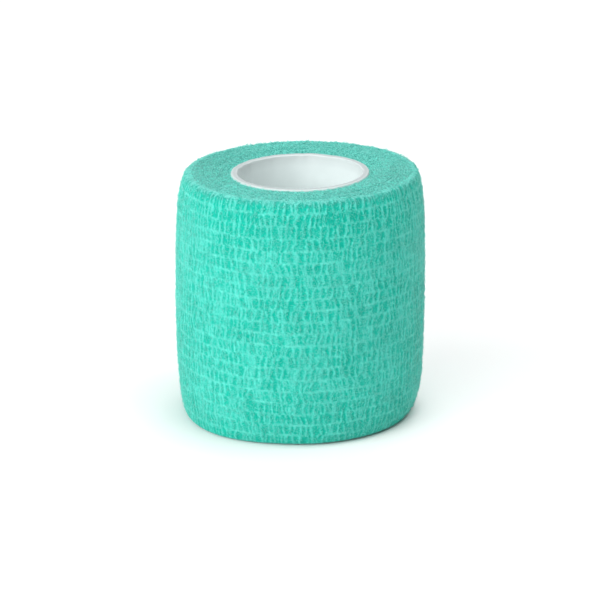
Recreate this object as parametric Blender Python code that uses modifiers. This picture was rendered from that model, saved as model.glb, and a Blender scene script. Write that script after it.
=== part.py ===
"""Cohesive bandage roll, standing on end: one strip of crinkled elastic cloth wound on a core tube.

Metres, +Z up. The origin is the centre of the flat lower end, and the roll's front faces -Y.
Azimuths are in degrees, counter-clockwise seen from above: 0 is the right side (+X), 90 the rear.
"""
import math
from typing import NamedTuple

import bpy
import numpy as np

# The strip of cloth
CLOTH_WIDTH = 0.050            # across the strip, so the height of the standing roll
CLOTH_THICKNESS = 0.0006       # one turn of the crinkled cloth as it is wound
THREAD_COUNT = 20              # elastic threads that run around the roll, evenly across the strip
THREAD_SINK = 0.00014          # how far a thread draws the cloth in between two puffed rows

# The roll that it is wound into
MID_RADIUS = 0.02506           # at half height, averaged round the roll
BARREL_BULGE = 0.00077         # how much smaller the radius is at the ends than at half height
TOP_LEAN = 0.00018             # sideways slip of the turns towards +X, from the lower end to the upper
TOP_TILT = 0.00035             # how much higher the upper end lies at its right edge than at its middle
TAIL_AZIMUTH = 78.0            # where the strip's free end lies pressed down, on the rear
TAIL_EDGE = 0.0004             # width round the roll in which the tail's edge steps down
OFF_CENTRE = 0.00018           # how far the outer turns lie off the core's centre line
OFF_CENTRE_AZIMUTH = 350.0
UNEVEN_FADE = 3                # power by which the outer turns' uneven shape dies away at the core

# Bunches of turns that stand a little apart on the end faces
BUNCH_RADII = (0.0168, 0.0192, 0.0216)   # the hollow rings between one bunch of turns and the next
BUNCH_HALF_WIDTH = 0.0004
BUNCH_SINK = 0.00016
CORE_DIP = 0.0006              # how far the turns next to the core lie below the upper end

# The core tube
CORE_RADIUS = 0.0140
CORE_WALL = 0.0012
CORE_SET_BACK = 0.0003         # the tube's ends lie this far inside the roll's ends
CORE_CHAMFER = 0.00025
FIT_GAP = 0.0003               # between the tube and the innermost turn

CORNER_DEPTHS = (0.00012, 0.00050)   # extra points of the side near each end of the roll

ROLL_COLUMNS = 80
CORE_COLUMNS = 72
MERGE_DISTANCE = 0.00001


class Shoulder(NamedTuple):
    """How far the roll's rounded corners reach at one azimuth."""

    azimuth: float       # degrees
    top_in: float        # inwards at the upper end
    top_down: float      # down the side from the upper end
    bottom_in: float     # inwards at the lower end
    bottom_up: float     # up the side from the lower end


# The turns have slipped unevenly, so the corners differ round the roll: full at the lower left,
# well rounded at the lower right.
SHOULDERS = (
    Shoulder(azimuth=0, top_in=0.00125, top_down=0.0103, bottom_in=0.00280, bottom_up=0.0089),
    Shoulder(azimuth=45, top_in=0.00136, top_down=0.0090, bottom_in=0.00260, bottom_up=0.0088),
    Shoulder(azimuth=90, top_in=0.00154, top_down=0.0080, bottom_in=0.00196, bottom_up=0.0103),
    Shoulder(azimuth=135, top_in=0.00166, top_down=0.0077, bottom_in=0.00128, bottom_up=0.0124),
    Shoulder(azimuth=180, top_in=0.00167, top_down=0.0084, bottom_in=0.00100, bottom_up=0.0135),
    Shoulder(azimuth=225, top_in=0.00155, top_down=0.0097, bottom_in=0.00045, bottom_up=0.0100),
    Shoulder(azimuth=270, top_in=0.00138, top_down=0.0108, bottom_in=0.00230, bottom_up=0.0120),
    Shoulder(azimuth=315, top_in=0.00126, top_down=0.0110, bottom_in=0.00255, bottom_up=0.0104),
)


class Lobe(NamedTuple):
    """One soft wave of the roll's side."""

    count: int           # waves in a full turn
    reach: float         # out from the side, and in
    phase: float         # radians, at the lower end
    drift: float         # radians that the wave gains up the roll


LOBES = (
    Lobe(count=3, reach=0.00005, phase=0.6, drift=0.0),
    Lobe(count=5, reach=0.00003, phase=2.1, drift=3.1),
    Lobe(count=7, reach=0.00003, phase=0.0, drift=-4.7),
)


class Finish(NamedTuple):
    """The plain look of one material."""

    colour: tuple
    roughness: float
    metallic: float = 0.0


CLOTH_FINISH = Finish(colour=(0.065, 0.60, 0.47, 1.0), roughness=0.85)
CORE_FINISH = Finish(colour=(0.80, 0.83, 0.83, 1.0), roughness=0.38)


def clear_scene():
    """Remove every object, so that only the roll is left."""
    for obj in list(bpy.data.objects):
        bpy.data.objects.remove(obj, do_unlink=True)


def new_collection(name):
    """Make a collection under the scene's own."""
    collection = bpy.data.collections.new(name)
    bpy.context.scene.collection.children.link(collection)
    return collection


def new_material(name, finish):
    """Make a Principled material from a finish."""
    material = bpy.data.materials.new(name)
    material.use_nodes = True
    shader = material.node_tree.nodes["Principled BSDF"]
    shader.inputs["Base Color"].default_value = finish.colour
    shader.inputs["Roughness"].default_value = finish.roughness
    shader.inputs["Metallic"].default_value = finish.metallic
    material.diffuse_color = finish.colour
    return material


def turned_mesh(name, profile, columns, collection):
    """Turn a closed profile of (radius, height) points about Z and return the mesh it sweeps.

    The profile runs down its outer side and comes back up its inner side.
    """
    count = len(profile)
    outline = bpy.data.meshes.new(name + "_outline")
    outline.from_pydata(
        [(radius, 0.0, height) for radius, height in profile],
        [(index, (index + 1) % count) for index in range(count)],
        [],
    )
    guide = bpy.data.objects.new(name + "_outline", outline)
    collection.objects.link(guide)
    screw = guide.modifiers.new("turn", "SCREW")
    screw.axis = "Z"
    screw.steps = columns
    screw.render_steps = columns
    screw.use_merge_vertices = True
    screw.merge_threshold = MERGE_DISTANCE
    bpy.context.view_layer.update()
    evaluated = guide.evaluated_get(bpy.context.evaluated_depsgraph_get())
    mesh = bpy.data.meshes.new_from_object(evaluated)
    mesh.name = name
    bpy.data.objects.remove(guide, do_unlink=True)
    return mesh


def add_piece(name, mesh, material, collection, sharp_angle):
    """Put a mesh in the scene as a smooth-shaded object with its own material."""
    mesh.shade_smooth()
    mesh.set_sharp_from_angle(angle=math.radians(sharp_angle))
    mesh.materials.clear()
    mesh.materials.append(material)
    piece = bpy.data.objects.new(name, mesh)
    collection.objects.link(piece)
    return piece


def shoulder_at(azimuth):
    """Blend the table of shoulders smoothly to one azimuth in degrees."""
    spacing = 360.0 / len(SHOULDERS)
    place = (azimuth % 360.0) / spacing
    index = int(place) % len(SHOULDERS)
    blend = 0.5 - 0.5 * math.cos(math.pi * (place - int(place)))
    before = SHOULDERS[index]
    after = SHOULDERS[(index + 1) % len(SHOULDERS)]
    return Shoulder(*(low + (high - low) * blend for low, high in zip(before, after)))


def corner_inset(depth, reach_in, reach_along):
    """How far a rounded corner draws the side in, at a depth from the end of the roll."""
    to_go = 1.0 - min(max(depth / reach_along, 0.0), 1.0)
    return reach_in * (1.0 - math.sqrt(1.0 - to_go**2))


def barrel_radius(height):
    """The roll is fullest at half height, and the crinkled cloth draws in towards its ends."""
    from_middle = 2.0 * height / CLOTH_WIDTH - 1.0
    return MID_RADIUS - BARREL_BULGE * from_middle**2


def side_profile():
    """Points down the outer side: a crest in the middle of each puffed row, a sink at each thread.

    A few more points near each end follow the rounded corners.
    """
    half_rows = 2 * THREAD_COUNT + 2
    sinks = {}
    for step in range(half_rows + 1):
        is_thread = step % 2 == 0 and 0 < step < half_rows
        sinks[CLOTH_WIDTH * step / half_rows] = THREAD_SINK if is_thread else 0.0
    for depth in CORNER_DEPTHS:
        sinks[depth] = 0.0
        sinks[CLOTH_WIDTH - depth] = 0.0
    return [(barrel_radius(height) - sinks[height], height) for height in sorted(sinks, reverse=True)]


def end_profile(face_height, inward):
    """Points across an end face, outside to inside, with a shallow ring between bunches of turns.

    inward is -1 where hollows go down from the face, and 1 where they go up into it.
    """
    points = []
    for ring in sorted(BUNCH_RADII, reverse=True):
        points.append((ring + BUNCH_HALF_WIDTH, face_height))
        points.append((ring, face_height + inward * BUNCH_SINK))
        points.append((ring - BUNCH_HALF_WIDTH, face_height))
    return points


def roll_profile():
    """The whole closed profile of the wound cloth: outer side, lower end, bore, upper end."""
    bore = CORE_RADIUS + FIT_GAP
    profile = side_profile()
    profile += end_profile(face_height=0.0, inward=1)
    profile.append((bore, 0.0))
    profile.append((bore, CLOTH_WIDTH - CORE_DIP))
    profile += reversed(end_profile(face_height=CLOTH_WIDTH, inward=-1))
    return profile


def drawn_to_tail(azimuth):
    """Move the two columns next to the tail's edge close to it, so that the step is a crisp one."""
    spacing = 360.0 / ROLL_COLUMNS
    edge = math.degrees(TAIL_EDGE / MID_RADIUS)
    offset = (azimuth - TAIL_AZIMUTH + 180.0) % 360.0 - 180.0
    if -spacing / 2 < offset <= spacing / 2:
        return TAIL_AZIMUTH - edge / 2
    if spacing / 2 < offset <= 1.5 * spacing:
        return TAIL_AZIMUTH + edge / 2
    return azimuth


def lap_growth(azimuth):
    """Clockwise, the outermost turn climbs by one thickness of cloth, up to the tail's edge."""
    turned = ((azimuth - TAIL_AZIMUTH) % 360.0) / 360.0
    return CLOTH_THICKNESS * (0.5 - turned)


def lobes(azimuth, height):
    """The soft unevenness of the wound turns: all the lobes together."""
    angle = math.radians(azimuth)
    climb = height / CLOTH_WIDTH
    return sum(
        lobe.reach * math.sin(lobe.count * angle + lobe.phase + lobe.drift * climb) for lobe in LOBES
    )


def off_centre(azimuth):
    """The outer turns lie a little to one side, so that the roll is thicker there."""
    return OFF_CENTRE * math.cos(math.radians(azimuth - OFF_CENTRE_AZIMUTH))


def tilted(height, across):
    """The upper end stands askew: higher on the right than on the left. The lower end stays flat."""
    return height + TOP_TILT * height / CLOTH_WIDTH * across / MID_RADIUS


def shape_wound_cloth(mesh):
    """Give the turned mesh its rounded corners, climbing last turn, tail edge, lean and tilt."""
    points = np.empty(len(mesh.vertices) * 3)
    mesh.vertices.foreach_get("co", points)
    points = points.reshape(-1, 3)
    face_edge = barrel_radius(0.0)
    bore = CORE_RADIUS + FIT_GAP
    for point in points:
        radius = math.hypot(point[0], point[1])
        height = point[2]
        azimuth = drawn_to_tail(math.degrees(math.atan2(point[1], point[0])))
        shoulder = shoulder_at(azimuth)
        inset = corner_inset(CLOTH_WIDTH - height, shoulder.top_in, shoulder.top_down)
        inset += corner_inset(height, shoulder.bottom_in, shoulder.bottom_up)
        outwards = min(1.0, (radius - bore) / (face_edge - bore))
        change = lap_growth(azimuth) + lobes(azimuth, height) + off_centre(azimuth) - inset
        radius += change * outwards**UNEVEN_FADE
        angle = math.radians(azimuth)
        lean = TOP_LEAN * (height / CLOTH_WIDTH - 0.5)
        point[0] = radius * math.cos(angle) + lean * outwards
        point[1] = radius * math.sin(angle)
        point[2] = tilted(height, point[0])
    mesh.vertices.foreach_set("co", points.ravel())
    mesh.update()


def build_wound_bandage(collection):
    """The strip of cloth, wound up: one hollow solid of its wound form."""
    mesh = turned_mesh("wound_bandage", roll_profile(), ROLL_COLUMNS, collection)
    shape_wound_cloth(mesh)
    cloth = new_material("crinkled_cloth", CLOTH_FINISH)
    return add_piece("wound_bandage", mesh, cloth, collection, sharp_angle=50)


def build_core_tube(collection):
    """The plastic tube that the strip is wound on, with a small chamfer at each rim."""
    low = CORE_SET_BACK
    high = CLOTH_WIDTH - CORE_SET_BACK
    inner = CORE_RADIUS - CORE_WALL
    profile = [
        (CORE_RADIUS - CORE_CHAMFER, high),
        (CORE_RADIUS, high - CORE_CHAMFER),
        (CORE_RADIUS, low + CORE_CHAMFER),
        (CORE_RADIUS - CORE_CHAMFER, low),
        (inner + CORE_CHAMFER, low),
        (inner, low + CORE_CHAMFER),
        (inner, high - CORE_CHAMFER),
        (inner + CORE_CHAMFER, high),
    ]
    mesh = turned_mesh("core_tube", profile, CORE_COLUMNS, collection)
    for vertex in mesh.vertices:
        vertex.co.z = tilted(vertex.co.z, vertex.co.x)
    plastic = new_material("core_plastic", CORE_FINISH)
    return add_piece("core_tube", mesh, plastic, collection, sharp_angle=30)


def main():
    """Build the roll's two pieces."""
    clear_scene()
    roll = new_collection("cohesive_bandage_roll")
    build_wound_bandage(roll)
    build_core_tube(roll)


main()
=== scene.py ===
"""Cohesive bandage roll, standing on end: the looks of its wound cloth and of its core tube.

Everything is in metres, +Z up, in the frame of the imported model. The strip of cloth is wound clockwise
from the core to its free end, the tail, which lies pressed down on the rear. A place round a turn is a
share from 0, just past the tail, to 1, back at the tail. Azimuths are in degrees, counter-clockwise seen
from above: 0 is the right side, 90 the rear and 270 the front.
"""

import logging
import math
from dataclasses import dataclass, field
from enum import Enum
from functools import cached_property

import bpy
import numpy as np
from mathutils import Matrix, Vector


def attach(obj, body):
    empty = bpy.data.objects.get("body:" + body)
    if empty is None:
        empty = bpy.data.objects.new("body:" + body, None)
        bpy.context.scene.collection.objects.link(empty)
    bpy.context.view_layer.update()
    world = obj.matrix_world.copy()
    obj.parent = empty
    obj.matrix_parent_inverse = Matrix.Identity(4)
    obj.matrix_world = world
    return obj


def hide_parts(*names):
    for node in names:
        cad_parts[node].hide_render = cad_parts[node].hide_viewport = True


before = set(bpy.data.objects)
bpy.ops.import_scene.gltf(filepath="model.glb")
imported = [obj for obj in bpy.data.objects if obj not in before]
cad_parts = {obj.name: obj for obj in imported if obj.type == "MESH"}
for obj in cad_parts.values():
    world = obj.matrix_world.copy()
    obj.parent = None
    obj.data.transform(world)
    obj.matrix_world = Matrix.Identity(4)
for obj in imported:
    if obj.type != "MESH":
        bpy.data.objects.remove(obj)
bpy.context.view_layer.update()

BODY = "root"
CLOTH_NODE = "wound_bandage"
CORE_NODE = "core_tube"

Array = np.ndarray
Pair = tuple[float, float]
Ring = tuple[float, ...]            # sizes at even steps round the roll
Colour = tuple[float, float, float, float]
Socket = bpy.types.NodeSocket
Inputs = dict[str | int, object]    # a socket to link or a plain value, by the input's name or number
Material = bpy.types.Material
Piece = bpy.types.Object

WHOLE: Pair = (0.0, 1.0)
NOISE_SPAN: Pair = (0.3, 0.7)        # nearly all of Blender's noise lies between these
SHORTEST = 1e-12                     # vectors shorter than this aren't scaled up to a length of 1
NEST_TURN = 2.0 * math.pi * 0.020    # length of the turn where nested crinkles have their own size

log = logging.getLogger("bandage_roll")


class End(Enum):
    """The roll's two flat ends."""

    UPPER = "upper"
    LOWER = "lower"


class Paint(Enum):
    """What is painted on the points for a finish to read, where 0 is none and 1 the usual most."""

    POCKET_AND_SHADE = "pocket"    # the sunken cloth between two crinkles, or between two turns' edges, which the finish paints darker: partly the cloth's own colour, partly painted shade
    THREAD = "thread"    # an elastic thread that shows through, or loose pale fibres
    CUT = "cut"          # the pale fibres at the strip's cut edges, or the core's sawn ends; both colours are partly painted shade


def ease(share: Array) -> Array:
    """Turn a straight climb from 0 to 1 into a smooth one, and hold it there outside that range."""
    held = np.clip(share, 0.0, 1.0)
    return held * held * (3.0 - 2.0 * held)


def fade(distance: Array, reach: float) -> Array:
    """Give 1 where a distance is 0 or less, falling smoothly to 0 at its reach."""
    return ease(1.0 - distance / reach)


def past(value: Array, start: float) -> Array:
    """Give 0 up to a start, rising smoothly to 1 where the value is 1."""
    return ease((value - start) / (1.0 - start))


def blend(first: Array, second: Array, share: float | Array) -> Array:
    """Give the first value at a share of 0, the second at 1, and a mixture between."""
    return first * (1.0 - share) + second * share


def hump(offset: Array, half_width: float | Array) -> Array:
    """Give 1 where an offset is 0, falling off like a bell on both sides."""
    return np.exp(-((offset / half_width) ** 2))


def unit(vectors: Array) -> Array:
    """Scale vectors to a length of 1."""
    return vectors / np.maximum(np.linalg.norm(vectors, axis=-1, keepdims=True), SHORTEST)


@dataclass(frozen=True)
class Wander:
    """Smooth seeded unevenness along a line, with one random knot at each whole place."""

    seed: int
    knots: int
    reach: float = 1.0    # its largest value, up or down

    def at(self, place: Array) -> Array:
        """Read the unevenness.

        Args:
            place: Where to read it, counted in knots; it comes round again after the last knot.

        Returns:
            Values between the reach up and down, in the shape of place.
        """
        heights = np.random.default_rng(self.seed).uniform(-1.0, 1.0, self.knots)
        low = np.floor(place).astype(int)
        before = heights[low % self.knots]
        after = heights[(low + 1) % self.knots]
        return self.reach * (before + (after - before) * ease(place - low))

    def over(self, share: Array) -> Array:
        """Read the unevenness at shares of its whole line, from 0 to 1."""
        return self.at(share * self.knots)


@dataclass(frozen=True)
class Patches:
    """Smooth seeded unevenness over a sheet, in patches of a given size in metres."""

    seed: int
    tall: float
    long: float
    reach: float = 1.0    # its largest value, up or down
    loop: float = 0.0     # the length after which the patches come round again, or 0 for never

    def at(self, up: Array, along: Array) -> Array:
        """Read the patches.

        Args:
            up: Distances across the sheet, from 0 upwards.
            along: Distances along the sheet, from 0 upwards, in a shape that goes with up.

        Returns:
            Values between the reach up and down.
        """
        row = np.maximum(up, 0.0) / self.tall
        column = np.maximum(along, 0.0) / self.long
        columns = int(column.max()) + 2
        if self.loop > 0.0:
            columns = round(self.loop / self.long)
            column = column * columns * self.long / self.loop
        values = np.random.default_rng(self.seed).uniform(-1.0, 1.0, (int(row.max()) + 2, columns))
        row_low = np.floor(row).astype(int)
        column_low = np.floor(column).astype(int)
        across = ease(column - column_low)
        climb = ease(row - row_low)
        before = column_low % columns
        after = (column_low + 1) % columns
        lower = blend(values[row_low, before], values[row_low, after], across)
        upper = blend(values[row_low + 1, before], values[row_low + 1, after], across)
        return self.reach * blend(lower, upper, climb)


@dataclass(frozen=True)
class Lobe:
    """One soft wave of the roll's side: waves in a turn, reach, phase, and the phase it gains upwards."""

    count: int
    reach: float
    phase: float
    drift: float


@dataclass(frozen=True)
class WoundForm:
    """The plain wound form, as the roll's solid has it, with nothing fine on it."""

    width: float = 0.050
    mid_radius: float = 0.02506
    barrel_bulge: float = 0.00077
    bore_radius: float = 0.01384
    turns: int = 18
    tail_azimuth: float = 78.0
    top_lean: float = 0.00018
    top_tilt: float = 0.00035
    off_centre: float = 0.00018
    off_centre_azimuth: float = 350.0
    # How far the rounded corners reach, inwards and along the side, evenly round the roll from azimuth 0.
    top_in: Ring = (0.00125, 0.00136, 0.00154, 0.00166, 0.00167, 0.00155, 0.00138, 0.00126)
    top_down: Ring = (0.0103, 0.0090, 0.0080, 0.0077, 0.0084, 0.0097, 0.0108, 0.0110)
    bottom_in: Ring = (0.00280, 0.00260, 0.00196, 0.00128, 0.00100, 0.00045, 0.00230, 0.00255)
    bottom_up: Ring = (0.0089, 0.0088, 0.0103, 0.0124, 0.0135, 0.0100, 0.0120, 0.0104)
    lobes: tuple[Lobe, ...] = (
        Lobe(count=3, reach=0.00005, phase=0.6, drift=0.0),
        Lobe(count=5, reach=0.00003, phase=2.1, drift=3.1),
        Lobe(count=7, reach=0.00003, phase=0.0, drift=-4.7),
    )

    @property
    def mean_turns(self) -> float:
        """Turns from the bore to the side, halfway through the outermost turn."""
        return self.turns + 0.5

    def azimuth(self, share: Array) -> Array:
        """Give the azimuth in radians of a share of one turn, clockwise from the tail."""
        return np.radians(self.tail_azimuth - 360.0 * share)

    @staticmethod
    def round_ring(ring: Ring, azimuth: Array) -> Array:
        """Let sizes given evenly round the roll pass smoothly into each other.

        Args:
            ring: The sizes, from azimuth 0.
            azimuth: Where to read them, in radians.

        Returns:
            Sizes in the shape of azimuth.
        """
        sizes = np.array(ring)
        place = (np.degrees(azimuth) % 360.0) * len(sizes) / 360.0
        low = np.floor(place).astype(int)
        share = 0.5 - 0.5 * np.cos(np.pi * (place - low))
        before = sizes[low % len(sizes)]
        return before + (sizes[(low + 1) % len(sizes)] - before) * share

    def corner_inset(self, azimuth: Array, depth: Array, reach_in: Ring, reach_along: Ring) -> Array:
        """Give how far a rounded corner draws the side in, at a depth from the end of the roll."""
        to_go = 1.0 - np.clip(depth / self.round_ring(reach_along, azimuth), 0.0, 1.0)
        return self.round_ring(reach_in, azimuth) * (1.0 - np.sqrt(1.0 - to_go**2))

    def plain_radius(self, azimuth: Array, height: Array) -> Array:
        """Work out the side's radius without the climb of the last turn.

        Args:
            azimuth: In radians.
            height: Above the lower end, in metres.

        Returns:
            The radius in metres.
        """
        climb = height / self.width
        radius = self.mid_radius - self.barrel_bulge * (2.0 * climb - 1.0) ** 2
        radius = radius + self.off_centre * np.cos(azimuth - math.radians(self.off_centre_azimuth))
        for lobe in self.lobes:
            radius = radius + lobe.reach * np.sin(lobe.count * azimuth + lobe.phase + lobe.drift * climb)
        radius = radius - self.corner_inset(azimuth, self.width - height, self.top_in, self.top_down)
        return radius - self.corner_inset(azimuth, height, self.bottom_in, self.bottom_up)

    def radius(self, share: Array, height: Array) -> Array:
        """Give the side's radius, which climbs by one turn's thickness round the turn, up to the tail."""
        plain = self.plain_radius(self.azimuth(share), height)
        return self.bore_radius + (plain - self.bore_radius) * (self.turns + share) / self.mean_turns

    def points(self, radius: Array, azimuth: Array, height: Array) -> Array:
        """Place points on the roll, with its lean to the right and its tilted upper end.

        Args:
            radius: In metres.
            azimuth: In radians.
            height: In metres.

        Returns:
            Points, with x, y and z along a last axis.
        """
        outwards = np.clip((radius - self.bore_radius) / (self.mid_radius - self.bore_radius), 0.0, 1.0)
        x = radius * np.cos(azimuth) + self.top_lean * (height / self.width - 0.5) * outwards
        y = radius * np.sin(azimuth) + np.zeros_like(x)
        z = height + self.top_tilt * height / self.width * x / self.mid_radius
        return np.stack([x, y, z], axis=-1)


@dataclass
class Net:
    """A net of points, rows by columns, with normals and paint, ready to become part of a mesh."""

    points: Array
    paint: dict[Paint, float | Array] = field(default_factory=dict)    # 0 for a kind that isn't named
    flipped: bool = False
    normals: Array | None = None      # worked out from the neighbours of each point unless given

    def __post_init__(self) -> None:
        """Spread the paint over the points, and work out the normals."""
        size = self.points.shape[:2]
        self.paint = {kind: np.broadcast_to(self.paint.get(kind, 0.0), size) for kind in Paint}
        if self.normals is None:
            up = np.gradient(self.points, axis=0)
            along = np.gradient(self.points, axis=1)
            self.normals = unit(np.cross(along, up) if self.flipped else np.cross(up, along))

    def span(self, first: int, last: int) -> "Net":
        """Cut out some columns, with the normals of the whole net.

        Args:
            first: The first column to keep.
            last: The last column to keep.

        Returns:
            A net of those columns.
        """
        kept = slice(first, last + 1)
        paint = {kind: values[:, kept] for kind, values in self.paint.items()}
        return Net(self.points[:, kept], paint, self.flipped, self.normals[:, kept])

    def quads(self, start: int) -> Array:
        """List the net's faces.

        Args:
            start: The number of the net's first point in the mesh.

        Returns:
            Four point numbers for each face, with the face turned outwards.
        """
        rows, columns = self.points.shape[:2]
        numbers = np.arange(rows * columns).reshape(rows, columns) + start
        corners = [numbers[:-1, :-1], numbers[1:, :-1], numbers[1:, 1:], numbers[:-1, 1:]]
        if self.flipped:
            corners.reverse()
        return np.stack([corner.ravel() for corner in corners], axis=-1)


def share_normals(first: Array, second: Array) -> None:
    """Set the normals of two lines of points that meet to their mean, so that no seam shows."""
    middle = unit(first + second)
    first[...] = second[...] = middle


def put_in_scene(name: str, data: bpy.types.ID) -> Piece:
    """Make an object of a mesh, a lamp or a camera, and link it to the scene.

    Args:
        name: The object's name.
        data: The mesh, lamp or camera.

    Returns:
        The object.
    """
    made = bpy.data.objects.new(name, data)
    bpy.context.scene.collection.objects.link(made)
    return made


def stand_off(thing: Piece, aim: Vector, away: Vector, distance: float) -> None:
    """Stand a lamp or a camera away from a point, and let it face that point."""
    thing.location = aim + away * distance
    thing.rotation_euler = (-away).to_track_quat("-Z", "Y").to_euler()


def make_piece(
    name: str, points: Array, normals: Array, corners: Array, paint: dict[Paint, float | Array],
    material: Material,
) -> Piece:
    """Make one object from points and faces, with paint as point attributes.

    Args:
        name: The piece's name.
        points: One row for each point.
        normals: One row for each point.
        corners: The point numbers of each face, one row for each and all with as many corners.
        paint: One value for all points or one for each, for every kind of paint that isn't 0.
        material: The piece's finish.

    Returns:
        The new object, linked to the scene.
    """
    mesh = bpy.data.meshes.new(name)
    mesh.vertices.add(len(points))
    mesh.vertices.foreach_set("co", points.astype(np.float32).ravel())
    mesh.loops.add(corners.size)
    mesh.loops.foreach_set("vertex_index", corners.astype(np.int32).ravel())
    mesh.polygons.add(len(corners))
    mesh.polygons.foreach_set("loop_start", np.arange(0, corners.size, corners.shape[1], dtype=np.int32))
    mesh.update(calc_edges=True)
    for kind in Paint:
        values = np.broadcast_to(paint.get(kind, 0.0), len(points))
        attribute = mesh.attributes.new(kind.value, "FLOAT", "POINT")
        attribute.data.foreach_set("value", values.astype(np.float32))
    mesh.shade_smooth()
    mesh.normals_split_custom_set_from_vertices(normals.astype(np.float32))
    mesh.materials.append(material)
    return put_in_scene(name, mesh)


def piece_from_nets(name: str, nets: list[Net], material: Material) -> Piece:
    """Make one object from nets, with their own paint and normals.

    Args:
        name: The piece's name.
        nets: The nets that it is made of.
        material: Its finish.

    Returns:
        The new object, linked to the scene.
    """
    points = np.concatenate([net.points.reshape(-1, 3) for net in nets])
    normals = np.concatenate([net.normals.reshape(-1, 3) for net in nets])
    paint = {kind: np.concatenate([net.paint[kind].ravel() for net in nets]) for kind in Paint}
    quads = []
    start = 0
    for net in nets:
        quads.append(net.quads(start))
        start += net.points.shape[0] * net.points.shape[1]
    return make_piece(name, points, normals, np.concatenate(quads), paint, material)


@dataclass
class NodeBench:
    """Lays out the nodes of a finish or of the room's light, so that each can be a short recipe."""

    owner: Material | bpy.types.World
    shader: str = "Principled BSDF"

    def __post_init__(self) -> None:
        """Start the owner's nodes, with its shader."""
        self.owner.use_nodes = True

    def fill(self, node: bpy.types.Node, inputs: Inputs) -> None:
        """Put links or plain values on a node's inputs.

        Args:
            node: The node.
            inputs: What goes on each input.
        """
        for name, value in inputs.items():
            if isinstance(value, Socket):
                self.owner.node_tree.links.new(value, node.inputs[name])
            else:
                node.inputs[name].default_value = value

    def node(self, kind: str, inputs: Inputs, **settings: object) -> bpy.types.Node:
        """Add a node.

        Args:
            kind: The kind of shader node.
            inputs: What goes on each input.
            settings: The node's own properties.

        Returns:
            The node.
        """
        made = self.owner.node_tree.nodes.new(f"ShaderNode{kind}")
        for name, value in settings.items():
            setattr(made, name, value)
        self.fill(made, inputs)
        return made

    def finished(self, inputs: Inputs) -> Material | bpy.types.World:
        """Put links or plain values on the shader, and give the owner."""
        self.fill(self.owner.node_tree.nodes[self.shader], inputs)
        return self.owner

    def painted(self, paint: Paint) -> Socket:
        """Read one kind of paint from the points."""
        return self.node("Attribute", {}, attribute_name=paint.value).outputs["Fac"]

    def place(self, stretch: tuple[float, float, float] = (1.0, 1.0, 1.0)) -> Socket:
        """Give the place on the object, stretched by a factor along each axis."""
        on_object = self.node("TexCoord", {}).outputs["Object"]
        return self.node("Mapping", {"Vector": on_object, "Scale": stretch}).outputs["Vector"]

    def noise(self, place: Socket, grain: float, detail: float = 2.0) -> Socket:
        """Add smooth noise with grains of about a given size in metres."""
        inputs = {"Vector": place, "Scale": 1.0 / grain, "Detail": detail}
        return self.node("TexNoise", inputs).outputs["Fac"]

    def web(self, place: Socket, cell: float) -> Socket:
        """Add a web of straight lines between cells of about a given size, with 0 on the lines."""
        inputs = {"Vector": place, "Scale": 1.0 / cell}
        return self.node("TexVoronoi", inputs, feature="DISTANCE_TO_EDGE").outputs["Distance"]

    def scaled(self, value: Socket, to: Pair, between: Pair = NOISE_SPAN) -> Socket:
        """Map values between two numbers to another range, and hold them there."""
        ends = dict(zip(("From Min", "From Max", "To Min", "To Max"), between + to))
        return self.node("MapRange", {"Value": value, **ends}).outputs["Result"]

    def math(self, operation: str, first: object, second: object) -> Socket:
        """Work out one sum of two values, each a socket or a number."""
        return self.node("Math", {0: first, 1: second}, operation=operation).outputs["Value"]

    def times(self, first: object, second: object) -> Socket:
        """Multiply two values, each a socket or a number."""
        return self.math("MULTIPLY", first, second)

    def mixed(self, share: object, first: object, second: object, way: str = "MIX") -> Socket:
        """Mix two colours, each a socket or linear red, green, blue and alpha."""
        inputs = {"Factor": share, 6: first, 7: second}    # inputs 6 and 7 and output 2 are the colours
        return self.node("Mix", inputs, data_type="RGBA", blend_type=way).outputs[2]

    def bump(self, height: Socket, strength: float, depth: float) -> Socket:
        """Give the normals of fine relief of a depth in metres."""
        inputs = {"Height": height, "Strength": strength, "Distance": depth}
        return self.node("Bump", inputs).outputs["Normal"]


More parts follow.
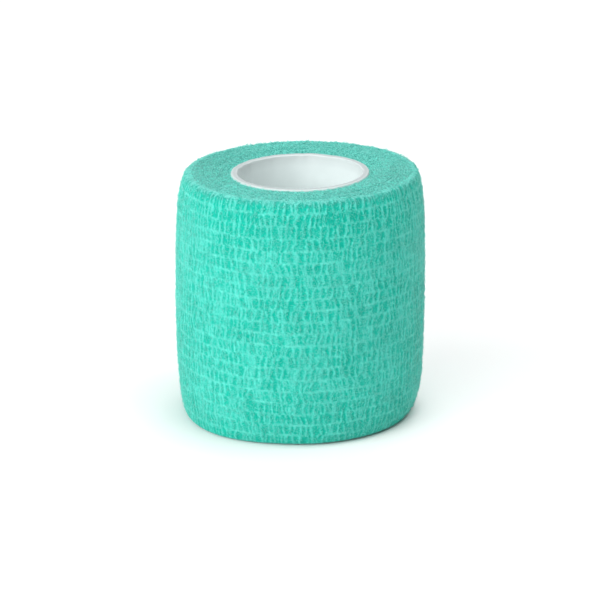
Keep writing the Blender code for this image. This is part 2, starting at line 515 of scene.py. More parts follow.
@dataclass(frozen=True)
class CrinkledCloth:
    """Soft nonwoven cloth: light crinkles, deeper pockets darkened partly with painted shade, threads that
    show through, pale cut edges.
    """

    ridge: Colour = (0.112, 0.685, 0.580, 1.0)
    # The pocket colour is darker than the ridge's: partly the doubled cloth's own colour, partly painted
    # shade in the hollows.
    pocket: Colour = (0.001, 0.440, 0.325, 1.0)
    thread: Colour = (0.170, 0.760, 0.650, 1.0)
    # The cut edges' colours: their own greyer tone, made darker overall as painted shade for the
    # upward-facing upper end.
    cut: Colour = (0.148, 0.490, 0.437, 1.0)
    cut_shade: Colour = (0.020, 0.255, 0.213, 1.0)
    pocket_tone: Pair = (0.16, 1.16)      # share of the pockets' colour, with its painted shade, on a ridge and in a pocket
    thread_share: float = 0.5
    cut_share: float = 0.9
    cut_speckle: Pair = (0.38, 0.60)      # the speckles' range that a cut edge's two colours span
    cut_tone: Pair = (0.35, 1.12)         # share of the pale colour at both ends of that range
    valley_shade: float = 0.8                 # how much of that share is lost between two turns' edges, as painted shade in the valleys
    fuzz: float = 0.48                    # how far fine fibres lighten or deepen the colour
    fibre_grain: float = 0.00030
    fibre_detail: float = 3.0
    fibre_shade: Pair = (0.85, 1.10)
    fibre_relief: float = 0.00010
    relief_strength: float = 0.5
    speckle_grain: float = 0.00034
    speckle_shade: Pair = (0.90, 1.08)
    mottle_grain: float = 0.006
    mottle_shade: Pair = (0.95, 1.04)
    web_cell: float = 0.0006
    web_line: float = 0.12                # in cells
    web_share: float = 0.20
    roughness: Pair = (0.95, 0.75)
    sheen: float = 0.20
    sheen_roughness: float = 0.4
    specular: float = 0.15

    def material(self) -> Material:
        """Lay out the cloth's nodes.

        Returns:
            A material that reads the cloth's paint.
        """
        bench = NodeBench(bpy.data.materials.new("crinkled_cloth"))
        place = bench.place()
        fibres = bench.noise(place, self.fibre_grain, self.fibre_detail)
        speckles = bench.noise(place, self.speckle_grain)
        mottle = bench.noise(place, self.mottle_grain)
        # The sunken paint darkens the pockets and the valleys between turns' edges: partly the cloth's own
        # colour, partly painted shade.
        sunken_shade = bench.painted(Paint.POCKET_AND_SHADE)
        pocket = bench.scaled(sunken_shade, self.pocket_tone, WHOLE)
        pocket = bench.math("ADD", pocket, bench.scaled(fibres, (-self.fuzz, self.fuzz)))
        web = bench.scaled(bench.web(place, self.web_cell), (self.web_share, 0.0), (0.0, self.web_line))
        colour = bench.mixed(bench.math("SUBTRACT", pocket, web), self.ridge, self.pocket)
        thread = bench.times(bench.painted(Paint.THREAD), self.thread_share)
        colour = bench.mixed(thread, colour, self.thread)
        tone = bench.scaled(speckles, self.cut_tone, self.cut_speckle)
        # Painted shade: the valleys between two turns' edges are darkened.
        tone = bench.math("SUBTRACT", tone, bench.times(sunken_shade, self.valley_shade))
        cut = bench.times(bench.painted(Paint.CUT), self.cut_share)
        colour = bench.mixed(cut, colour, bench.mixed(tone, self.cut_shade, self.cut))
        shade = bench.times(bench.scaled(fibres, self.fibre_shade), bench.scaled(mottle, self.mottle_shade))
        shade = bench.times(shade, bench.scaled(speckles, self.speckle_shade))
        grey = bench.node("CombineColor", {"Red": shade, "Green": shade, "Blue": shade})
        return bench.finished(
            {
                "Base Color": bench.mixed(1.0, colour, grey.outputs["Color"], way="MULTIPLY"),
                "Roughness": bench.scaled(fibres, self.roughness),
                "Sheen Weight": self.sheen,
                "Sheen Roughness": self.sheen_roughness,
                "Specular IOR Level": self.specular,
                "Normal": bench.bump(fibres, self.relief_strength, self.fibre_relief),
            }
        )


@dataclass(frozen=True)
class SatinPlastic:
    """Smooth white plastic with a satin surface, faint lengthwise drawing marks, and sawn ends painted
    darker: partly their duller surface, partly painted shade.
    """

    colour: Colour = (0.815, 0.89, 0.885, 1.0)
    shade: Colour = (0.785, 0.86, 0.855, 1.0)
    # The sawn ends' grey: partly their duller surface, partly painted shade on the lips.
    sawn_and_shaded: Colour = (0.42, 0.47, 0.475, 1.0)
    cloud_grain: float = 0.004
    mark_grain: float = 0.0006
    mark_stretch: float = 0.03
    mark_relief: float = 0.00001
    relief_strength: float = 0.25
    roughness: Pair = (0.34, 0.46)

    def material(self) -> Material:
        """Lay out the plastic's nodes.

        Returns:
            The core tube's material.
        """
        bench = NodeBench(bpy.data.materials.new("satin_plastic"))
        marks = bench.noise(bench.place((1.0, 1.0, self.mark_stretch)), self.mark_grain)
        clouds = bench.noise(bench.place(), self.cloud_grain)
        colour = bench.mixed(bench.scaled(clouds, WHOLE), self.colour, self.shade)
        return bench.finished(
            {
                "Base Color": bench.mixed(bench.painted(Paint.CUT), colour, self.sawn_and_shaded),
                "Roughness": bench.scaled(marks, self.roughness),
                "Normal": bench.bump(marks, self.relief_strength, self.mark_relief),
            }
        )


@dataclass(frozen=True)
class PaleBoard:
    """Matt near-white board for the floor."""

    colour: Colour = (0.90, 0.90, 0.90, 1.0)
    shade: Colour = (0.88, 0.88, 0.88, 1.0)
    cloud_grain: float = 0.25
    roughness: Pair = (0.8, 0.9)

    def material(self) -> Material:
        """Lay out the board's nodes.

        Returns:
            The floor's material.
        """
        bench = NodeBench(bpy.data.materials.new("pale_board"))
        clouds = bench.noise(bench.place(), self.cloud_grain)
        colour = bench.mixed(bench.scaled(clouds, WHOLE), self.colour, self.shade)
        return bench.finished({"Base Color": colour, "Roughness": bench.scaled(clouds, self.roughness)})


@dataclass
class CrinklePattern:
    """The cloth's crinkles: ridges across the strip, parted into bands by threads that run along it.

    The ridges of a band are strands that run from one thread to the next, a little aslant and bowed.
    Each band has its own strands, so that they seldom meet those of the next band.
    """

    width: float
    turn_length: float
    height: Array                     # one column of heights across the strip
    along: Array                      # one row of distances round the turn
    threads: int = 20
    ridge_pitch: float = 0.00058      # between strands; about every second one is strong
    ridge_half_width: float = 0.00030
    spread: float = 0.35              # how much wider a strand lies on a thread
    sway: float = 0.30                # in strand pitches
    sway_kept: float = 0.4            # share of a strand's sway at one thread that it has at the next
    bow: float = 0.16                 # how far strands bow between threads, in strand pitches
    least_gap: float = 0.45           # in strand pitches
    strong: Pair = (0.62, 1.0)
    weak: Pair = (0.0, 0.85)
    weak_from: float = 0.70           # the weak strands stand out only from this strength
    missing: float = 0.015            # share of strands that fade away in a band
    missing_strength: float = 0.2
    neighbours: int = 4               # strands on either side that may reach a point
    spare: int = 6                    # strands past each end of the turn
    drift: Patches = Patches(seed=13, tall=0.0020, long=0.0045, reach=1.6)     # in strand pitches
    slant: Patches = Patches(seed=22, tall=0.0012, long=0.0030, reach=0.5)     # in strand pitches
    wobble: Patches = Patches(seed=14, tall=0.0006, long=0.0010, reach=0.30)   # in strand pitches
    beads: Patches = Patches(seed=15, tall=0.0005, long=0.0006, reach=0.50)    # along each strand
    thread_half_width: float = 0.00030
    slow_bend: Patches = Patches(seed=16, tall=0.0024, long=0.006, reach=0.00015)
    quick_bend: Patches = Patches(seed=17, tall=0.0024, long=0.0008, reach=0.00010)
    closing: Patches = Patches(seed=18, tall=0.0024, long=0.0014, reach=0.50)
    closing_mean: float = 0.38
    showing: Patches = Patches(seed=19, tall=0.0024, long=0.0020, reach=1.6)
    showing_from: float = 0.3         # a thread shows through only past this
    showing_power: int = 3            # how much narrower it shows than it presses
    flecks: Patches = Patches(seed=21, tall=0.0004, long=0.0005)
    fleck_from: float = 0.70          # loose pale fibres show only past this
    place_seed: int = 11              # the strands' places, strengths and bows are drawn apart
    strength_seed: int = 12
    bow_seed: int = 13

    @property
    def bands(self) -> int:
        """How many bands of cloth the threads part."""
        return self.threads + 1

    @property
    def band(self) -> float:
        """The width of one band of cloth."""
        return self.width / self.bands

    @property
    def strands(self) -> int:
        """How many strands there are round one turn, with the spare ones."""
        return round(self.turn_length / self.ridge_pitch) + 2 * self.spare

    def read(self, patches: Patches) -> Array:
        """Read patches at every point."""
        return patches.at(self.height, self.along)

    @cached_property
    def straight(self) -> Array:
        """The height that each point would have if the threads ran straight."""
        return self.height + self.read(self.slow_bend) + self.read(self.quick_bend)

    @cached_property
    def near_thread(self) -> Array:
        """How near each point lies to an elastic thread, from 0 to 1."""
        nearest = np.clip(np.round(self.straight / self.band), 1, self.threads)
        return hump(self.straight - nearest * self.band, self.thread_half_width)

    def strand_places(self) -> list[Array]:
        """Let the strands of each band sway at both its threads, and keep each past its neighbour.

        Returns:
            The place of each strand at its band's lower and upper thread, in strand pitches, with a
            row for each band.
        """
        rng = np.random.default_rng(self.place_seed)
        size = (self.bands, self.strands)
        lower_sway = rng.normal(0.0, self.sway, size)
        fresh = math.sqrt(1.0 - self.sway_kept**2)
        upper_sway = self.sway_kept * lower_sway + fresh * rng.normal(0.0, self.sway, size)
        places = []
        for sway in (lower_sway, upper_sway):
            place = np.sort(np.arange(self.strands) - self.spare + sway, axis=1)
            for strand in range(1, self.strands):
                place[:, strand] = np.maximum(place[:, strand], place[:, strand - 1] + self.least_gap)
            places.append(place)
        return places

    def strand_strengths(self) -> Array:
        """Draw how strongly each strand stands out.

        Returns:
            Strengths from 0 to 1, with a row for each band.
        """
        rng = np.random.default_rng(self.strength_seed)
        size = (self.bands, self.strands)
        strong = rng.uniform(*self.strong, size)
        weak = rng.uniform(*self.weak, size)
        strengths = np.where(np.arange(self.strands) % 2 == 0, strong, weak * (weak > self.weak_from))
        missing = rng.uniform(0.0, 1.0, size) < self.missing
        return np.where(missing, self.missing_strength, strengths)

    def ridges(self) -> Array:
        """Work out how near each point lies to the crest of a ridge.

        Returns:
            Values from 0 in a pocket to 1 on a strong crest.
        """
        lower, upper = self.strand_places()
        strengths = self.strand_strengths()
        bows = np.random.default_rng(self.bow_seed).normal(0.0, self.bow, strengths.shape)
        level = self.straight / self.band
        band = np.clip(np.floor(level), 0, self.bands - 1).astype(int)
        climb = np.clip(level - band, 0.0, 1.0)
        foot = band * self.band
        place = self.along / self.ridge_pitch + self.drift.at(foot, self.along)
        place = place + self.slant.at(foot, self.along) * (2.0 * climb - 1.0)
        place = place + self.read(self.wobble)
        nearest = np.round(place).astype(int) + self.spare
        reach = self.ridge_half_width / self.ridge_pitch * (1.0 + self.spread * self.near_thread)
        found = np.zeros(place.shape)
        for step in range(-self.neighbours, self.neighbours + 1):
            strand = np.clip(nearest + step, 0, self.strands - 1)
            crest = blend(lower[band, strand], upper[band, strand], climb)
            crest = crest + bows[band, strand] * 4.0 * climb * (1.0 - climb)
            found = np.maximum(found, strengths[band, strand] * hump(place - crest, reach))
        return np.minimum(found * (1.0 + self.read(self.beads)), 1.0)

    def thread_marks(self) -> tuple[Array, Array]:
        """Work out what the threads do to the cloth over them, here more and there less.

        Returns:
            How far the thread closes the pockets there, and how well it shows through, each from 0 to 1.
        """
        closing = np.clip(self.closing_mean + self.read(self.closing), 0.0, 1.0)
        showing = self.near_thread**self.showing_power * ease(self.read(self.showing) - self.showing_from)
        flecks = past(self.read(self.flecks), self.fleck_from)
        return self.near_thread * closing, np.maximum(showing, flecks)


@dataclass
class OuterTurn:
    """The outermost turn of the strip: the roll's whole side, crinkled, with the tail's cut edge."""

    form: WoundForm
    finish: Material
    columns: int = 1080
    side_rows: int = 223
    arcs: int = 3
    corner_radius: float = 0.0006
    corner_rows: int = 5
    pocket_depth: float = 0.00016
    pocket_range: Pair = (0.05, 0.85)     # between these a hollow grows into a full pocket
    fine_depth: Patches = Patches(seed=52, tall=0.0012, long=0.0006, reach=0.22)    # in pocket depths
    slow_depth: Patches = Patches(seed=53, tall=0.006, long=0.006, reach=0.20)
    upper_depth: float = 0.30             # how much deeper the pockets are at the upper edge, which also deepens their painted shade
    upper_depth_reach: float = 0.008
    thread_depth: float = 0.00006
    grain: Patches = Patches(seed=54, tall=0.0007, long=0.0007, reach=0.00002)
    margin_upper: float = 0.0005          # the crinkles fade out in this margin at the upper edge
    margin_lower: float = 0.0006
    margin_pale: float = 0.0014           # the cut edge's pale fibres fade out in this margin
    margin_depth: float = 0.45            # share of the pockets' depth that is left at the edges
    ragged: Patches = Patches(seed=51, tall=0.0007, long=0.0006, reach=0.00045)
    rim_thread: float = 0.3
    rim_cut: float = 0.75
    rim_wave: Wander = Wander(seed=8, knots=34, reach=0.00010)
    rim_wave_reach: float = 0.004
    fray: Patches = Patches(seed=55, tall=0.0005, long=0.0005)
    fray_sway: float = 0.00007            # how far the cut edge's fibres stand out, and up
    fray_rise: float = 0.00006
    fray_margin: float = 0.0018
    tail_waver: Wander = Wander(seed=7, knots=14, reach=0.00025)
    tail_waver_reach: float = 0.003
    tail_bend: float = 0.4                # where the tail's cut edge bends, from outer to inner face

    @property
    def turn_length(self) -> float:
        """The length of strip in the outermost turn."""
        return 2.0 * math.pi * self.form.mid_radius

    def profile(self) -> tuple[Array, Array]:
        """Work out the rows from the lower end to the upper one, round both corners.

        Returns:
            Heights, and how far the corners draw each row in, each as one column.
        """
        turn = np.linspace(0.0, math.pi / 2, self.corner_rows + 1)[1:]
        rise = self.corner_radius * np.sin(turn)
        inset = self.corner_radius * (1.0 - np.cos(turn))
        low = self.corner_radius
        high = self.form.width - self.corner_radius
        side = np.linspace(low, high, self.side_rows + 1)
        height = np.concatenate([low - rise[::-1], side, high + rise])
        drawn_in = np.concatenate([inset[::-1], np.zeros(side.shape), inset])
        return height[:, None], drawn_in[:, None]

    def tail_turn(self, share: Array, height: Array) -> Array:
        """Let the tail's cut edge waver: turn the cloth beside it a little round the roll.

        Args:
            share: One row of places round the turn.
            height: One column of heights.

        Returns:
            Angles in radians.
        """
        climb = height / self.form.width
        near_tail = np.exp(-np.minimum(share, 1.0 - share) * self.turn_length / self.tail_waver_reach)
        waver = self.tail_waver.over(climb) * np.sin(math.pi * climb)
        return waver * near_tail / self.form.mid_radius

    @cached_property
    def net(self) -> Net:
        """The whole side, crinkled.

        Returns:
            One net, with a column for each place round the turn, from just past the tail to the tail.
        """
        share = np.linspace(0.0, 1.0, self.columns + 1)[None, :]
        height, drawn_in = self.profile()
        below_upper = self.form.width - height
        pattern = CrinklePattern(self.form.width, self.turn_length, height, share * self.turn_length)
        closing, showing = pattern.thread_marks()
        # How far inside the cut edges the cloth lies, for its crinkles and for the pale fibres.
        from_upper = below_upper + pattern.read(self.ragged)
        from_lower = ease(height / self.margin_lower)
        inside = np.minimum(ease(from_upper / self.margin_upper), from_lower)
        pale = 1.0 - np.minimum(ease(from_upper / self.margin_pale), from_lower)
        # The pockets, and the relief that they and the threads give the cloth.
        depth = 1.0 - self.fine_depth.reach + pattern.read(self.fine_depth) + pattern.read(self.slow_depth)
        depth = depth + self.upper_depth * fade(below_upper, self.upper_depth_reach)
        least, full = self.pocket_range
        pocket = ((1.0 - pattern.ridges()) * (1.0 - closing) - least) / (full - least)
        pocket = np.clip(pocket, 0.0, 1.0) * depth
        relief = -self.pocket_depth * pocket * (self.margin_depth + (1.0 - self.margin_depth) * inside)
        relief = relief + (pattern.read(self.grain) - self.thread_depth * closing) * inside
        # The frayed and wavy rim, and the wavering tail.
        from_edge = below_upper + drawn_in
        fray = self.fray.at(from_edge, pattern.along) * fade(from_edge, self.fray_margin)
        radius = self.form.radius(share, height) - drawn_in + relief + self.fray_sway * fray
        azimuth = self.form.azimuth(share) + self.tail_turn(share, height)
        risen = self.rim_wave.over(share) * fade(below_upper, self.rim_wave_reach) + self.fray_rise * fray
        return Net(
            self.form.points(radius, azimuth, height + risen),
            {
                # The pockets' paint, which the finish turns into darker colour, partly painted shade.
                Paint.POCKET_AND_SHADE: pocket * inside,
                Paint.THREAD: np.maximum(showing * inside, self.rim_thread * pale),
                Paint.CUT: self.rim_cut * pale,
            },
        )

    def tail_edge(self) -> Net:
        """Build the cut edge of the tail, from the last column down to the first.

        Returns:
            A net of the cut edge.
        """
        outer = self.net.points[:, -1]
        inner = self.net.points[:, 0]
        bend = blend(outer, inner, self.tail_bend)
        paint = {Paint.THREAD: self.rim_thread, Paint.CUT: self.rim_cut}
        return Net(np.stack([outer, bend, inner], axis=1), paint)

    def build(self) -> list[Piece]:
        """Build the side as arcs, with the tail's cut edge on the last one.

        Returns:
            The pieces.
        """
        pieces = []
        for arc in range(self.arcs):
            first = self.columns * arc // self.arcs
            last = self.columns * (arc + 1) // self.arcs
            nets = [self.net.span(first, last)]
            if arc == self.arcs - 1:
                nets.append(self.tail_edge())
            pieces.append(piece_from_nets(f"outer_turn_{arc + 1}", nets, self.finish))
        return pieces


@dataclass
class TurnEdges:
    """One end of the roll: the crinkled cut edges of all its turns, one spiral from core to side."""

    form: WoundForm
    side: OuterTurn
    end: End
    lines_per_turn: int = 4
    rim_lines: int = 3                # lines that lead over to the side
    start_climb: float = 0.06         # share of the innermost turn in which it steps over the start
    crinkle: Wander = Wander(seed=31, knots=2003, reach=0.00006)
    crinkle_pitch: float = 0.0012     # with one knot of the crinkle at each crest and each dip
    slip: Wander = Wander(seed=33, knots=211, reach=0.00007)    # how unevenly the turns' edges stand
    slip_length: float = 0.012
    nest_rise: Patches = Patches(seed=34, tall=0.0014, long=0.0005, reach=0.00008, loop=NEST_TURN)
    nest_sway: Patches = Patches(seed=35, tall=0.0014, long=0.0005, reach=0.00005, loop=NEST_TURN)
    wisps: Patches = Patches(seed=36, tall=0.0005, long=0.0030, loop=NEST_TURN)
    wisp_from: float = 0.90           # a loose pale fibre shows only past this
    core_dip: float = 0.0006          # how low the innermost turns stand at the upper end
    core_dip_reach: float = 0.0045
    bunch_radii: tuple[float, ...] = (0.0168, 0.0192, 0.0216)    # faint rings between bunches of turns
    bunch_half_width: float = 0.0004
    bunch_sink: float = 0.00008
    valley_depth: float = 0.00018

    @property
    def lines(self) -> int:
        """How many lines run round the end, from the bore to the side."""
        return self.form.turns * self.lines_per_turn + 1

    def crests(self, share: Array) -> list[Array]:
        """Work out how each turn's edge sways sideways and stands up or down.

        Args:
            share: One row of places round the turn.

        Returns:
            Sideways sway and rise in metres, with a row for each turn and one more on either side.
        """
        wound = np.arange(self.form.turns + 2)[:, None] + share
        pitch = (self.form.mid_radius - self.form.bore_radius) / self.form.mean_turns
        length = 2.0 * math.pi * (self.form.bore_radius * wound + pitch * wound**2 / 2.0)
        return [self.crinkle.at(length / (self.crinkle_pitch / 2.0)), self.slip.at(length / self.slip_length)]

    def face_sink(self, outwards: Array) -> Array:
        """Work out how far the end face sinks: next to the core, and between bunches of turns.

        Args:
            outwards: Distances from the bore, in metres.

        Returns:
            The sink in metres.
        """
        sink = np.zeros_like(outwards)
        if self.end is End.UPPER:
            sink = self.core_dip * fade(outwards, self.core_dip_reach)
        for ring in self.bunch_radii:
            from_ring = outwards - (ring - self.form.bore_radius)
            sink = sink + self.bunch_sink * hump(from_ring, self.bunch_half_width)
        return sink

    @cached_property
    def net(self) -> Net:
        """The cut edges of all the turns.

        Returns:
            One spiral net from the bore outwards, whose last line is the edge of the side.
        """
        share = np.linspace(0.0, 1.0, self.side.columns + 1)[None, :]
        line = np.arange(self.lines)[:, None]
        turn = line / self.lines_per_turn
        # Each line spirals outwards by one turn's thickness, steeply where it steps over the strip's start.
        climb_share = self.start_climb + (1.0 - self.start_climb) * ease(turn / self.form.turns)
        climbed = turn + np.clip((share - 1.0) / climb_share + 1.0, 0.0, 1.0)
        rim = self.side.net.points[-1 if self.end is End.UPPER else 0]
        reach = np.hypot(rim[:, 0], rim[:, 1])[None, :] - self.form.bore_radius
        outwards = reach * climbed / (self.form.turns + share)
        # On a crest it moves with its own turn's edge, and in a valley halfway between two turns' edges.
        own = line[:, 0] // self.lines_per_turn
        phase = turn - own[:, None]
        own = np.minimum(own, self.form.turns - 1) + 1
        to_valley = np.abs(2.0 * phase - 1.0)
        other = np.where(phase[:, 0] < 0.5, own - 1, own + 1)
        half = to_valley / 2.0
        sway, rise = (blend(crest[own], crest[other], half) for crest in self.crests(share))
        # It is held at the bore and at the rim, and sinks with the face and into its valley.
        from_rim = ease((self.lines - 1 - line) / self.rim_lines)
        free = np.minimum(ease(turn), from_rim)
        along = share * NEST_TURN
        sway = sway + self.nest_sway.at(outwards, along)
        rise = rise + self.nest_rise.at(outwards, along)
        valley = to_valley**2 * free
        standing = rise * free - self.face_sink(outwards) * from_rim - self.valley_depth * valley
        height = self.form.width + standing if self.end is End.UPPER else np.maximum(-standing, 0.0)
        radius = self.form.bore_radius + outwards + sway * free
        points = self.form.points(radius, self.form.azimuth(share), height)
        points[-1] = rim
        wisp = past(self.wisps.at(outwards, along), self.wisp_from)
        net = Net(
            points,
            {
                # Painted shade: the valley paint darkens the cut colour between two turns' edges.
                Paint.POCKET_AND_SHADE: valley,
                Paint.THREAD: np.maximum(wisp, self.side.rim_thread * (1.0 - from_rim)),
                Paint.CUT: 1.0 - (1.0 - self.side.rim_cut) * (1.0 - from_rim),
            },
            flipped=self.end is End.UPPER,
        )
        share_normals(net.normals[:-self.lines_per_turn, -1], net.normals[self.lines_per_turn:, 0])
        return net

    def inner_lines(self) -> tuple[Array, Array]:
        """Give the innermost line, and three points across the strip's start beside it."""
        across = slice(0, self.lines_per_turn + 1, self.lines_per_turn // 2)
        return self.net.points[0], self.net.points[across, 0]


@dataclass
class LooseFibres:
    """Fine fibres that stand up from the cloth in low arches, each a thin spindle with sunk tips."""

    finish: Material
    count: int = 20000
    upper_share: float = 0.16         # share of the fibres on the upper end
    seed: int = 61
    length: Pair = (0.0007, 0.0018)
    rise: Pair = (0.00008, 0.00032)
    sunk: float = 0.00015             # how deep both tips lie in the cloth
    bend: float = 0.25                # how far a fibre bends sideways, in its own length
    radius: float = 0.00004
    sides: int = 3
    clear_of_floor: float = 0.0012    # no fibre is rooted lower than this
    paleness: float = 1.7

    def build(self, side: Net, upper: Net) -> Piece:
        """Scatter the fibres over the side and the upper end.

        Args:
            side: The net of the roll's side.
            upper: The net of its upper end.

        Returns:
            The piece.
        """
        rng = np.random.default_rng(self.seed)
        on_upper = round(self.count * self.upper_share)
        roots = []
        outwards = []
        for net, count in ((side, self.count - on_upper), (upper, on_upper)):
            places = net.points.reshape(-1, 3)
            picked = rng.choice(np.flatnonzero(places[:, 2] > self.clear_of_floor), count)
            roots.append(places[picked])
            outwards.append(net.normals.reshape(-1, 3)[picked])
        root = np.concatenate(roots)
        outward = np.concatenate(outwards)
        across = unit(np.cross(outward, rng.normal(0.0, 1.0, root.shape)))
        sideways = np.cross(outward, across)
        half = rng.uniform(*self.length, (len(root), 1)) / 2.0
        apex = root + outward * rng.uniform(*self.rise, half.shape)
        apex = apex + sideways * half * rng.normal(0.0, self.bend, half.shape)
        low = root - outward * self.sunk
        first_tip = (low - across * half)[:, None]
        last_tip = (low + across * half)[:, None]
        angle = 2.0 * math.pi * np.arange(self.sides)[:, None] / self.sides
        facing = sideways[:, None] * np.cos(angle) + outward[:, None] * np.sin(angle)
        points = np.concatenate([first_tip, apex[:, None] + self.radius * facing, last_tip], axis=1)
        normals = np.concatenate([outward[:, None], facing, outward[:, None]], axis=1)
        numbers = np.arange(points.shape[0] * points.shape[1]).reshape(points.shape[:2])
        here = numbers[:, 1:-1]
        after = np.roll(here, -1, axis=1)
        first = np.broadcast_to(numbers[:, :1], here.shape)
        last = np.broadcast_to(numbers[:, -1:], here.shape)
        corners = np.stack([first, after, here, last, here, after], axis=-1).reshape(-1, 3)
        paint = {Paint.THREAD: self.paleness}
        points = points.reshape(-1, 3)
        return make_piece("loose_fibres", points, normals.reshape(-1, 3), corners, paint, self.finish)


@dataclass
class CoreTube:
    """The plastic tube that the strip is wound on, with rounded lips at both ends."""

    form: WoundForm
    finish: Material
    outer_radius: float = 0.01380
    wall: float = 0.00140
    set_back: float = 0.0003
    lip_radius: float = 0.00028
    lip_steps: int = 5
    rim_steps: int = 6
    inner_steps: int = 24
    columns: int = 360
    slow_waver: Wander = Wander(seed=42, knots=23, reach=0.00007)
    quick_waver: Wander = Wander(seed=41, knots=70, reach=0.00007)
    waver_depth: float = 0.0012       # how far down the lip's waver reaches
    waver_rise: float = 0.5           # share of the waver that lifts the lip
    sawn_reach: float = 1.5           # how far the sawn look, with its painted shade, reaches from an end, in lip radii
    sawn_least: float = 0.5           # how strong it is at the wall's faces

    def profile(self) -> Array:
        """Work out the tube's closed section, up its outer side and down its inner side.

        Returns:
            Radius and height of each point.
        """
        low = self.set_back
        high = self.form.width - self.set_back
        inner_radius = self.outer_radius - self.wall
        lip = self.lip_radius
        corners = (
            (self.outer_radius - lip, high - lip, 0.0, self.rim_steps),
            (inner_radius + lip, high - lip, 90.0, self.inner_steps),
            (inner_radius + lip, low + lip, 180.0, self.rim_steps),
            (self.outer_radius - lip, low + lip, 270.0, 1),
        )
        section = []
        for number, (radius, height, start, steps) in enumerate(corners):
            for step in range(self.lip_steps + 1):
                angle = math.radians(start + 90.0 * step / self.lip_steps)
                section.append((radius + lip * math.cos(angle), height + lip * math.sin(angle)))
            next_radius, next_height = corners[(number + 1) % len(corners)][:2]
            from_radius, from_height = section[-1]
            for step in range(1, steps):
                out = (next_radius - radius) * step / steps
                up = (next_height - height) * step / steps
                section.append((from_radius + out, from_height + up))
        section.append(section[0])
        return np.array(section)

    def build(self) -> Piece:
        """Turn the section round the roll's axis and let the lips waver a little.

        Returns:
            The piece.
        """
        radius, height = (column[:, None] for column in self.profile().T)
        share = np.linspace(0.0, 1.0, self.columns + 1)[None, :]
        inwards = (self.outer_radius - radius) / self.wall
        depth = self.form.width - self.set_back - height
        waver = self.slow_waver.over(share) + self.quick_waver.over(share)
        waver = waver * fade(depth, self.waver_depth)
        from_end = np.minimum(depth, height - self.set_back)
        across = 4.0 * inwards * (1.0 - inwards)
        # Painted shade: the lips are darkened along with their sawn look.
        sawn_and_shaded = ease(self.sawn_reach - from_end / self.lip_radius)
        sawn_and_shaded = sawn_and_shaded * (self.sawn_least + (1.0 - self.sawn_least) * across)
        radius = radius + waver * ease(inwards)
        points = self.form.points(radius, 2.0 * math.pi * share, height + self.waver_rise * waver)
        net = Net(points, {Paint.CUT: sawn_and_shaded}, flipped=True)
        share_normals(net.normals[:, 0], net.normals[:, -1])
        share_normals(net.normals[0], net.normals[-1])
        return piece_from_nets("winding_core", [net], self.finish)


@dataclass
class BandageRoll:
    """The whole roll: the wound cloth round its core tube."""

    form: WoundForm = field(default_factory=WoundForm)
    lower_lines_per_turn: int = 2     # the lower end shows less, so its net is coarser

    def build_cloth(self) -> list[Piece]:
        """Build and dress the wound strip: its side, both ends, the bore's wall and the loose fibres.

        Returns:
            The pieces.
        """
        finish = CrinkledCloth().material()
        side = OuterTurn(self.form, finish)
        upper = TurnEdges(self.form, side, End.UPPER)
        lower = TurnEdges(self.form, side, End.LOWER, lines_per_turn=self.lower_lines_per_turn)
        bore = [    # its wall, and the cut start of the strip
            Net(np.stack([bottom, top], axis=0), flipped=True)
            for top, bottom in zip(upper.inner_lines(), lower.inner_lines())
        ]
        return [
            *side.build(),
            piece_from_nets("upper_turn_edges", [upper.net, *bore], finish),
            piece_from_nets("lower_turn_edges", [lower.net], finish),
            LooseFibres(finish).build(side.net, upper.net),
        ]

    def build(self) -> list[Piece]:
        """Build every piece, let it stand for its node and ride on the roll's body.

        Returns:
            The pieces.
        """
        cloth = self.build_cloth()
        for piece in cloth:
            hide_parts(CLOTH_NODE)
        core = CoreTube(self.form, SatinPlastic().material()).build()
        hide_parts(CORE_NODE)
        pieces = [*cloth, core]
        for piece in pieces:
            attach(piece, BODY)
        return pieces


@dataclass(frozen=True)
class SoftLight:
    """One square white soft box, aimed at the middle of the roll."""

    name: str
    towards: tuple[float, float, float]
    distance: float
    size: float
    power: float

    def build(self, aim: Vector) -> None:
        """Place the light.

        Args:
            aim: The point that it faces.
        """
        lamp = bpy.data.lights.new(self.name, "AREA")
        lamp.shape = "SQUARE"
        lamp.size = self.size
        lamp.energy = self.power
        stand_off(put_in_scene(self.name, lamp), aim, Vector(self.towards).normalized(), self.distance)


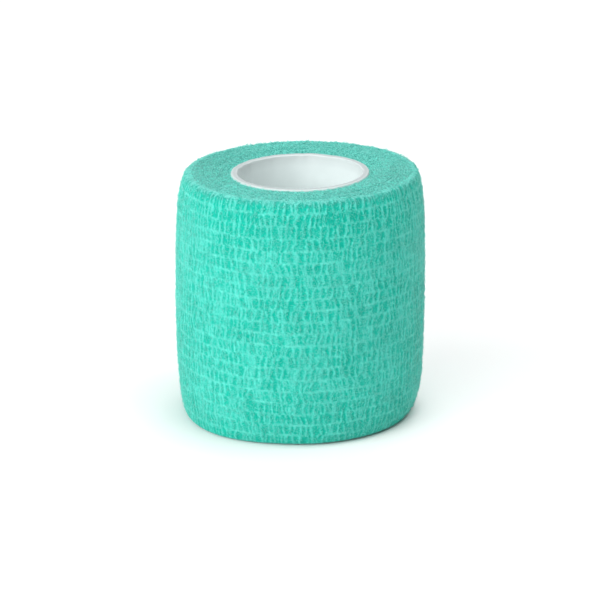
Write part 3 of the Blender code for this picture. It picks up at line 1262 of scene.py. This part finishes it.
@dataclass
class Studio:
    """Pale floor, soft light and the camera at the photograph's angle."""

    floor_size: float = 8.0
    aim: Vector = field(default_factory=lambda: Vector((0.0, 0.0, 0.025)))
    camera_distance: float = 0.6
    camera_elevation: float = 17.79
    lens: float = 178.6
    sensor: float = 36.0
    shift_up: float = -0.0175
    sky_colour: Colour = (1.0, 1.0, 1.0, 1.0)
    sky_left: float = 0.60            # strength of the room's light at the far left and right
    sky_right: float = 0.0
    lights: tuple[SoftLight, ...] = (
        SoftLight("left_light", towards=(-0.85, -0.50, 0.60), distance=1.1, size=0.7, power=5.2),
        SoftLight("front_light", towards=(-0.45, -0.85, 0.55), distance=1.1, size=0.7, power=4.5),
        SoftLight("top_light", towards=(0.30, -0.10, 1.0), distance=1.2, size=0.8, power=9.8),
        SoftLight("rear_light", towards=(0.0, 0.7, 1.0), distance=1.2, size=0.8, power=4.0),
    )

    def build_floor(self) -> None:
        """Lay the floor."""
        half = self.floor_size / 2.0
        corners = [(-half, -half, 0.0), (half, -half, 0.0), (half, half, 0.0), (-half, half, 0.0)]
        mesh = bpy.data.meshes.new("floor")
        mesh.from_pydata(corners, [], [range(len(corners))])
        mesh.materials.append(PaleBoard().material())
        floor = put_in_scene("floor", mesh)

    def build_sky(self) -> None:
        """Fill the room with white light that fades from the left to the right."""
        bench = NodeBench(bpy.data.worlds.new("studio"), shader="Background")
        direction = bench.node("TexCoord", {}).outputs["Generated"]
        rightwards = bench.node("SeparateXYZ", {"Vector": direction}).outputs["X"]
        strength = bench.scaled(rightwards, (self.sky_left, self.sky_right), (-1.0, 1.0))
        bpy.context.scene.world = bench.finished({"Color": self.sky_colour, "Strength": strength})

    def build_camera(self) -> None:
        """Set up the camera in front of the roll, looking down at it."""
        lens = bpy.data.cameras.new("camera")
        lens.lens = self.lens
        lens.sensor_width = self.sensor
        lens.shift_y = self.shift_up
        camera = put_in_scene("camera", lens)
        angle = math.radians(self.camera_elevation)
        back = Vector((0.0, -math.cos(angle), math.sin(angle)))
        stand_off(camera, self.aim, back, self.camera_distance)
        bpy.context.scene.camera = camera

    def build(self) -> None:
        """Build the whole studio."""
        self.build_floor()
        self.build_sky()
        for light in self.lights:
            light.build(self.aim)
        self.build_camera()
        bpy.context.scene.view_settings.view_transform = "Standard"


def main() -> None:
    """Build the roll and the studio, and report each piece."""
    logging.basicConfig(level=logging.INFO, format="%(message)s")
    pieces = BandageRoll().build()
    for piece in pieces:
        log.info("built %s: %d faces", piece.name, len(piece.data.polygons))
    log.info("the roll has %d pieces", len(pieces))
    Studio().build()


if __name__ == "__main__":
    main()
